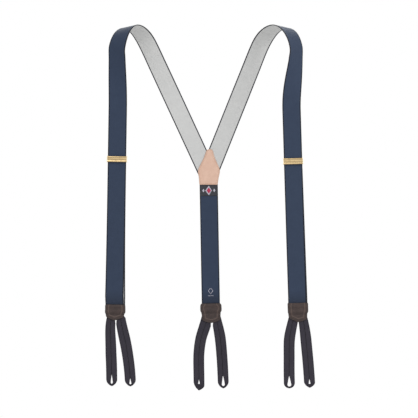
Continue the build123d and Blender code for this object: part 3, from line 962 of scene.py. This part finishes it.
def runner(side, node):
    """A flat braid folded side by side, with a sewn middle seam, a mitred end and an open buttonhole."""
    place = PLACES[side]
    rows, tip = runner_line(place, node)
    middles = np.vstack([[tip], rows[::-1, :2]])
    shape = RUNNERS[node]
    gather_low = shape.gather_low * MM
    gather = np.clip((middles[:, 0] - gather_low) / (GATHER_TOP - gather_low), 0, 1) ** 1.3
    middles[:, 1] += shape.pull * MM * gather + shape.sway * MM * bump(middles[:, 0] - SWAY[0], SWAY[1])
    line, runs = smooth_line([(across, height, 0) for height, across in middles], BRAID_STEP)
    slope = np.gradient(line[:, :2], runs, axis=0)
    slope = slope / np.linalg.norm(slope, axis=1)[:, None]
    aside = np.c_[slope[:, 1], -slope[:, 0]]
    half = np.interp(line[:, 1], rows[::-1, 0], rows[::-1, 2])
    half *= 1 - shape.squeeze * np.interp(line[:, 1], middles[:, 0], gather)
    hole_low, hole_length = shape.hole_low * MM, shape.hole_length * MM
    t = np.clip((runs - hole_low) / hole_length, 0, 1)
    hole = shape.hole_half * MM * np.sqrt(np.clip(t / 0.16, 0, 1)) * (1 - t) ** 0.85
    held = np.maximum(np.arange(len(runs)), np.searchsorted(runs, hole_low))

    legs = []
    for leg, narrow in zip((-1, 1), shape.narrow):
        t = np.clip(runs / (narrow * MM), 0, 1)
        width = np.maximum(half * (1 - (1 - t) ** 2) ** shape.point, 0.4 * MM)
        if leg * middles[-1, 1] < 0:  # this leg faces the other runner
            width *= 1 - TUCK[side] * np.interp(line[:, 1], TUCK_HEIGHTS[side], (0, 1))
        outer = line[:, :2] + aside * (leg * width)[:, None]
        inner = line[held, :2] + aside[held] * (leg * hole)[:, None]
        legs.append((outer, inner))
    outer = np.vstack([legs[0][0][::-1], legs[1][0]])
    inner = np.vstack([legs[0][1][::-1], legs[1][1]])
    middle = (outer + inner) / 2
    along = np.r_[0, np.cumsum(np.linalg.norm(np.diff(middle, axis=0), axis=1))]

    shares = np.linspace(-1, 1, BRAID_COLUMNS * 5 + 1)
    thick = depth(node) / 2
    points, uvs, strand_painted_shade = [], [], []
    # Darker towards the tip: painted shade where the folded yarn is pressed together.
    from_tip = np.abs(along - along[-1] / 2)
    shade = 0.45 + 0.55 * np.clip(from_tip / (9 * MM) - 0.25, 0, 1)
    for i, run in enumerate(along):
        for face in (1, -1):
            for share in shares if face > 0 else shares[::-1]:
                column = (share + 1) / 2 * BRAID_COLUMNS
                inside = column % 1 if share < 1 else 1.0
                lean = 1 if int(min(column, BRAID_COLUMNS - 0.001)) % 2 else -1
                phase = run / BRAID_PITCH + lean * (inside - 0.5) * 0.9 + (0.5 if face < 0 else 0)
                bead = abs(cos(pi * phase)) ** 0.6 * (1 - abs(2 * inside - 1) ** 3)
                body = (1 - abs(share) ** (5 if share > 0 else 11)) ** 0.5
                out = face * ((thick - BRAID_RELIEF) * body * 0.96 + BRAID_RELIEF * bead * body)
                spot = inner[i] + (outer[i] - inner[i]) * (share + 1) / 2
                points.append(place.at(spot[0], spot[1], out))
                uvs.append((share * half.max() / 2, run))
                # Painted shade, kept as the crest value: dark between the strands, on the rounded sides
                # and on the outer rim.
                rim = 1 - 0.75 * np.clip((share - 0.5) / 0.4, 0, 1)
                strand_painted_shade.append((0.2 + 0.8 * bead) * (0.35 + 0.65 * body) * shade[i] * rim)
    around = 2 * len(shares)
    faces = tube_faces(len(along), around)
    braid = piece(f"{node}_braid", points, faces, [BRAID], uvs=uvs, attributes={"crest": strand_painted_shade})
    settle(braid, "cord_braid", node, node)

    turns = np.arange(hole_low + hole_length, runs[-1] - 1 * MM, 1.5 * MM)
    for label, face in FACES:
        corners = []
        for k, run in enumerate(turns):
            i = min(np.searchsorted(runs, run), len(runs) - 1)
            spot = line[i, :2] + aside[i] * 0.75 * MM * (-1) ** k
            corners.append(np.array(place.at(*spot, face * thick * 0.93)))
        normals = np.tile(np.array(FRONT * face), (5, 1))
        steps = np.linspace(0, 1, 5)[:, None]
        zigzag = [(a + (b - a) * steps, normals) for a, b in zip(corners, corners[1:])]
        seam = thread(f"{node}_{label}_seam", zigzag, BLACK_THREAD, 0.15 * MM)
        settle(seam, "cord_braid", node)


for node in RUNNERS:
    runner(node.split("_")[0], node)


# ---- adjusters ----


def adjuster(side):
    """The CAD's frame and pin in brass, and a lever with a rolled top and a turned lip."""
    # The frame gets the near-white brass, a painted highlight.
    for part, metal in (("frame", PAINTED_HIGHLIGHT_BRASS), ("pin", BRASS)):
        node = frame["nodes"][f"{side}_adjuster_{part}"]
        node.data.materials.clear()
        node.data.materials.append(metal)
        bevel = node.modifiers.new("worn edges", "BEVEL")
        bevel.width = 0.18 * MM
        bevel.segments = 2
        bevel.limit_method = "ANGLE"
    place = PLACES[side]
    pin = Vector(joints[f"{side}_lever_hinge"]["pos_m"])
    low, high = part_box(f"{side}_adjuster_lever")
    half_width = (high.x - low.x) / 2
    reach = high.z - low.z
    barrel = 1.35 * MM
    drop = reach - 2 * barrel
    profile = [(barrel * cos(a), barrel * sin(a)) for a in np.linspace(radians(-60), radians(230), 16)]
    profile.append((0.05 * MM, -2.2 * MM))
    foot = [(0.1, 0.9), (0.35, -0.2), (0.9, -0.4), (1.15, 0.1), (0.95, 1.0), (0.9, 1.5)]
    foot += [(0.62, 1.9), (0.62, 2.6), (0.9, 3.0)]
    profile += [(out * MM, -drop + up * MM) for out, up in foot]
    profile.append((0.95 * MM, -2.3 * MM))
    middle_out, middle_up = 0.45 * MM, -drop / 2
    rounded = [(-1, 0.82), (-0.992, 0.95), (-0.975, 1)]
    sections = rounded + [(0, 1)] + [(-across, shrink) for across, shrink in rounded[::-1]]
    points = []
    for across, shrink in sections:
        for out, up in profile:
            points.append(
                pin
                + place.across * across * half_width
                + FRONT * (middle_out + (out - middle_out) * shrink)
                + place.up * (middle_up + (up - middle_up) * (1 - (1 - shrink) * 0.15))
            )
    faces = tube_faces(len(sections), len(profile))
    lever = piece(f"{side}_adjuster_lever_plate", points, faces, [BRASS])
    settle(lever, "brass", f"{side}_lever", f"{side}_adjuster_lever")


adjuster("left")
adjuster("right")


# ---- label and mark ----


def blob(name, outline, put, height, material):
    """Satin-stitched patch: a low dome over an outline of (across, up) points."""
    points = [put(a, b, 0) for a, b in outline]
    middle = np.mean(outline, axis=0)
    count = len(outline)
    points += [put(*(middle + (np.array(p) - middle) * 0.8), height) for p in outline]
    points.append(put(*middle, height * 1.2))
    faces = [(i, (i + 1) % count, count + (i + 1) % count, count + i) for i in range(count)]
    faces += [(count + i, count + (i + 1) % count, 2 * count) for i in range(count)]
    return piece(name, points, faces, [material])


def label():
    place = PLACES["rear"]
    low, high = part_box("woven_label")
    middle = place.back((low + high) / 2)
    half = (13.4 * MM, 8.4 * MM)
    face = FOLD_RADIUS + WEB_THICK / 2
    columns, rows = 24, 16
    points, uvs, faces = [], [], []
    for side in (1, 0):
        for j in range(rows + 1):
            for i in range(columns + 1):
                a, b = (2 * i / columns - 1) * half[0], (2 * j / rows - 1) * half[1]
                ripple = 0.05 * MM * sin(a / (2.6 * MM)) + 0.04 * MM * cos(b / (2.1 * MM))
                out = face + 0.08 * MM + side * (0.35 * MM + ripple)
                points.append(place.at(middle[0] + a, middle[1] + b, out))
                uvs.append((a, b))
    layer = (columns + 1) * (rows + 1)
    for j in range(rows):
        for i in range(columns):
            a = j * (columns + 1) + i
            faces.append((a, a + 1, a + columns + 2, a + columns + 1))
            faces.append(tuple(layer + k for k in (a + columns + 1, a + columns + 2, a + 1, a)))
    rim = list(range(columns + 1))
    rim += [j * (columns + 1) + columns for j in range(1, rows + 1)]
    rim += [rows * (columns + 1) + i for i in range(columns - 1, -1, -1)]
    rim += [j * (columns + 1) for j in range(rows - 1, 0, -1)]
    faces += [(a, layer + a, layer + b, b) for a, b in zip(rim, rim[1:] + rim[:1])]
    ground = piece("woven_label_ground", points, faces, [LABEL], uvs=uvs)
    settle(ground, "label_weave", "root", "woven_label")

    def put(a, b, out):
        return place.at(middle[0] + a, middle[1] + b, face + 0.42 * MM + out)

    for name, middle_across, tall, wide, rise, material in (
        ("label_border", 0, 7.2, 5.4, 0.14, WHITE_THREAD),
        ("label_lozenge", 0, 5.4, 3.9, 0.26, RED_THREAD),
        ("label_left_lozenge", -8.4, 2.9, 1.8, 0.18, WHITE_THREAD),
        ("label_right_lozenge", 8.4, 2.9, 1.8, 0.18, WHITE_THREAD),
    ):
        corners = [(0, tall), (wide, 0), (0, -tall), (-wide, 0)]
        outline = [((middle_across + a) * MM, b * MM) for a, b in corners]
        made = blob(name, outline, put, rise * MM, material)
        settle(made, "label_weave", "root")
    edge = [(-1, 1), (1, 1), (1, -1), (-1, -1), (-1, 1)]
    path = [put(a * (half[0] - 0.8 * MM), b * (half[1] - 0.8 * MM), 0) for a, b in edge]
    sewn = stitches("label_stitches", path, FRONT, BLACK_THREAD, 1.8 * MM, 0.7 * MM, 0.14 * MM)
    settle(sewn, "label_weave", "root")


def mark():
    """A small stitched lozenge over a bar, where a maker might put a size."""
    place = PLACES["rear"]
    face = FOLD_RADIUS + WEB_THICK / 2 * 0.86
    centre = 21 * MM
    lozenge = [(0, 6.2), (3.6, 1.6), (0, -3), (-3.6, 1.6), (0, 6.2)]
    bar = [(-4.4, -6), (4.4, -6)]
    for name, shape in (("size_mark_lozenge", lozenge), ("size_mark_bar", bar)):
        path = [place.at(a * MM, centre + b * MM, face) for a, b in shape]
        sewn = stitches(name, path, FRONT, WHITE_THREAD, 1.5 * MM, 0.2 * MM, 0.55 * MM)
        settle(sewn, "label_weave", "root")


label()
mark()


# ---- floor, light and camera ----

FRAME_HEIGHT = 0.6437  # of the picture, at the object
CAMERA_DISTANCE = 6.0


def stage():
    floor_mesh = bpy.data.meshes.new("floor")
    reach, level, sides = 1.4, cad_low.z - 0.2, 64
    turns = np.linspace(0, 2 * pi, sides + 1)[:-1]
    corners = [(reach * cos(a), reach * sin(a), level) for a in turns]
    floor_mesh.from_pydata(corners, [], [tuple(range(sides))])
    paint = Graph("floor_paint")
    place = paint.place()
    shade = paint.mix(paint.noise(place, 3), rgb(240, 240, 240), rgb(246, 246, 245))
    floor_mesh.materials.append(paint.finish(shade, 0.7))
    add_object("floor", floor_mesh)


def light(name, place, target, size, power):
    data = bpy.data.lights.new(name, "AREA")
    data.size = size
    data.energy = power
    lamp = add_object(name, data)
    lamp.location = place
    lamp.rotation_mode = "QUATERNION"
    lamp.rotation_quaternion = (Vector(target) - Vector(place)).to_track_quat("-Z", "Y")


def world():
    """White behind the object and in what metal reflects, and a dimmer white as the light on it."""
    made = bpy.data.worlds.new("studio")
    made.use_nodes = True
    tree = made.node_tree
    seen = tree.nodes.new("ShaderNodeLightPath")
    shade = tree.nodes.new("ShaderNodeMix")
    shade.data_type = "RGBA"
    shade.inputs[6].default_value = (0.59, 0.6, 0.62, 1)
    shade.inputs[7].default_value = (1, 1, 1, 1)
    either = tree.nodes.new("ShaderNodeMath")
    either.operation = "MAXIMUM"
    tree.links.new(seen.outputs["Is Camera Ray"], either.inputs[0])
    tree.links.new(seen.outputs["Is Glossy Ray"], either.inputs[1])
    tree.links.new(either.outputs[0], shade.inputs[0])
    tree.links.new(shade.outputs[2], tree.nodes["Background"].inputs["Color"])
    bpy.context.scene.world = made


def camera():
    data = bpy.data.cameras.new("camera")
    data.sensor_width = 36
    data.lens = data.sensor_width * CAMERA_DISTANCE / FRAME_HEIGHT
    data.clip_end = 100
    made = add_object("camera", data)
    aim = (cad_low + cad_high) / 2
    made.location = (aim.x, -CAMERA_DISTANCE, aim.z - 1.4 * MM)
    made.rotation_euler = (pi / 2, 0, 0)
    bpy.context.scene.camera = made


stage()
world()
camera()
light("key", (-0.7, -2.3, 1.5), (0, 0, -0.05), 1.3, 14)
light("fill", (1.1, -0.9, 0.9), (0.12, 0, 0.17), 0.8, 12)
light("front", (0.1, -3.0, 0.3), (0, 0, 0), 0.9, 2)
light("rim", (0.4, 1.8, 1.4), (0, 0, 0), 1.2, 16)
bpy.context.scene.view_settings.view_transform = "Standard"
